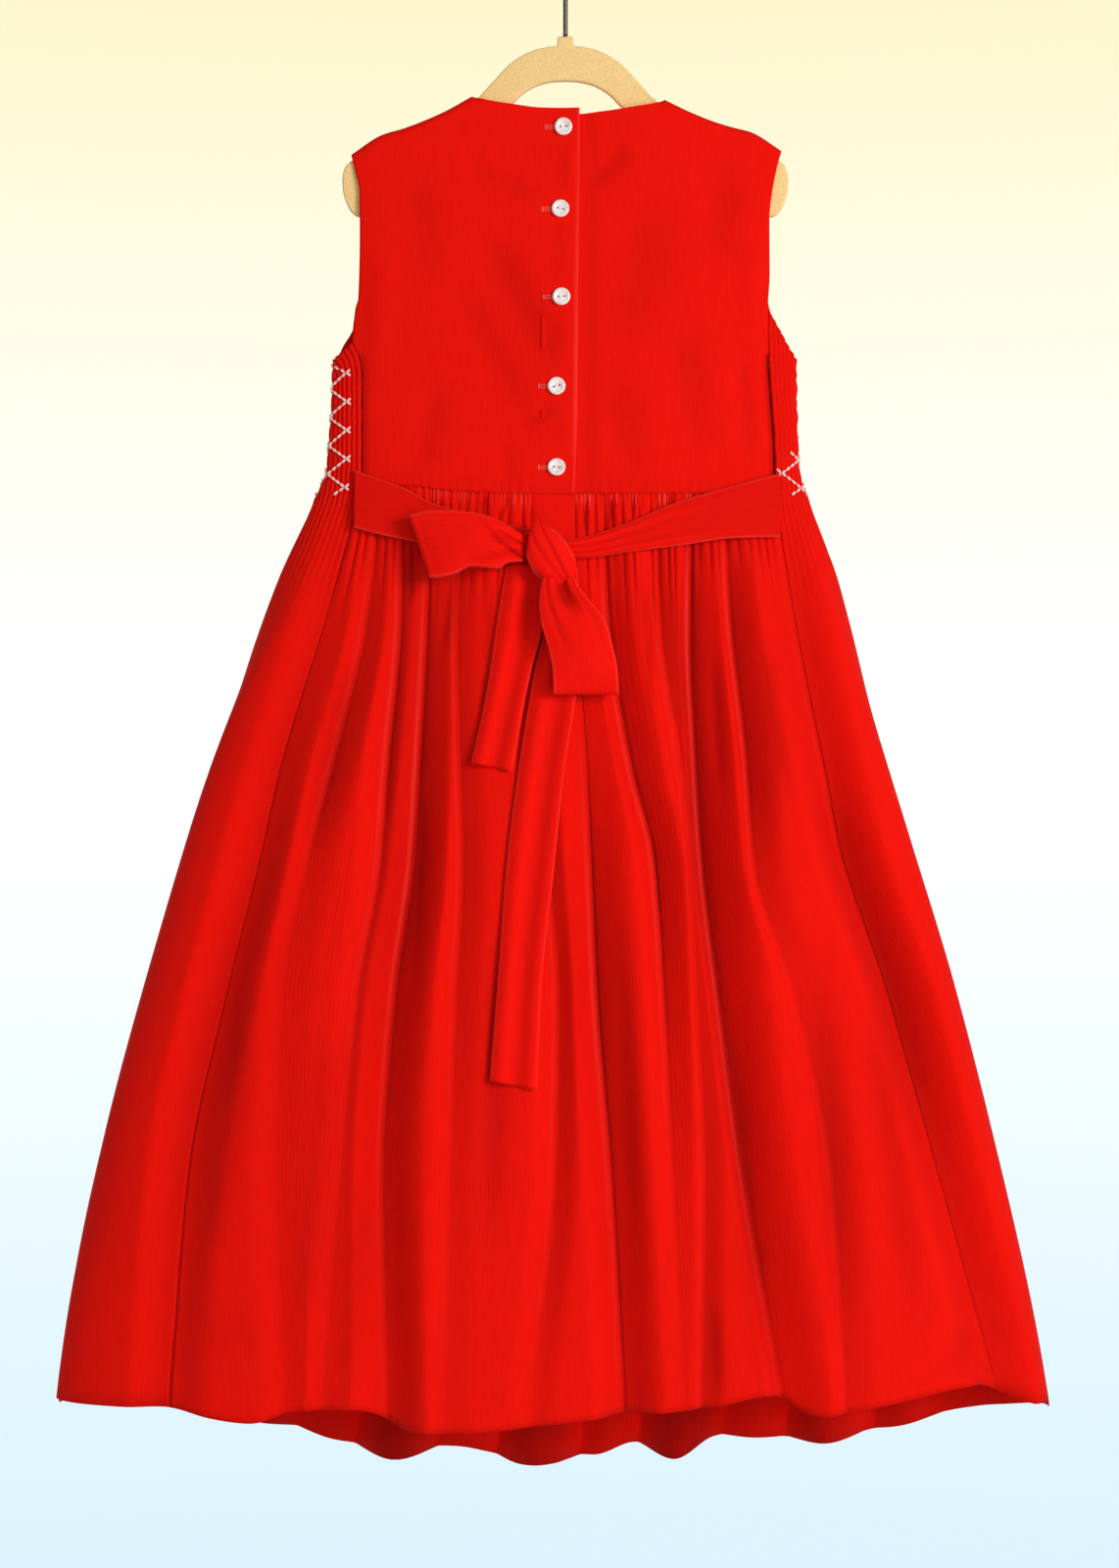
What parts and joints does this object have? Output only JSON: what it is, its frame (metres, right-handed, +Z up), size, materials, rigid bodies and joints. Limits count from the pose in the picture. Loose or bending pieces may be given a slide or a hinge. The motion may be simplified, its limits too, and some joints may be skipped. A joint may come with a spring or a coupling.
{
  "type": "smocked dress on a hanger",
  "caption": "Sleeveless girl's dress with a smocked front, a buttoned back, a gathered skirt and a sash tied in a bow, hung open on a flat hanger with a wire hook.",
  "frame": {"origin": "inside top of the hanger's hook, where it rests on a rail", "axes": "+Z up, +Y out of the smocked front, -Y out of the buttoned back, +X to the right as the back is seen"},
  "size_m": [0.6484, 0.1393, 1.0112],
  "materials": {
    "corduroy": "fine-waled cotton corduroy, bright red, napped",
    "sash": "fine-waled cotton corduroy, bright red, pressed",
    "buttons": "pearly polyester resin",
    "flock": "beige nylon flock on a plastic core",
    "wire": "dark bent wire"
  },
  "bodies": {
    "root": {"back_bodice_left": "corduroy", "back_bodice_right": "corduroy", "front_yoke": "corduroy", "smocked_front": "corduroy", "skirt_back_left": "corduroy", "skirt_back_right": "corduroy", "sash_tie_left": "sash", "sash_tie_right": "sash", "bow_knot": "sash", "bow_loop_left": "sash", "bow_loop_right": "sash", "bow_tail_short": "sash", "bow_tail_long": "sash", "button_1": "buttons", "button_2": "buttons", "button_3": "buttons", "button_4": "buttons", "button_5": "buttons", "hanger": "flock", "hanger_hook": "wire"}
  },
  "joints": []
}
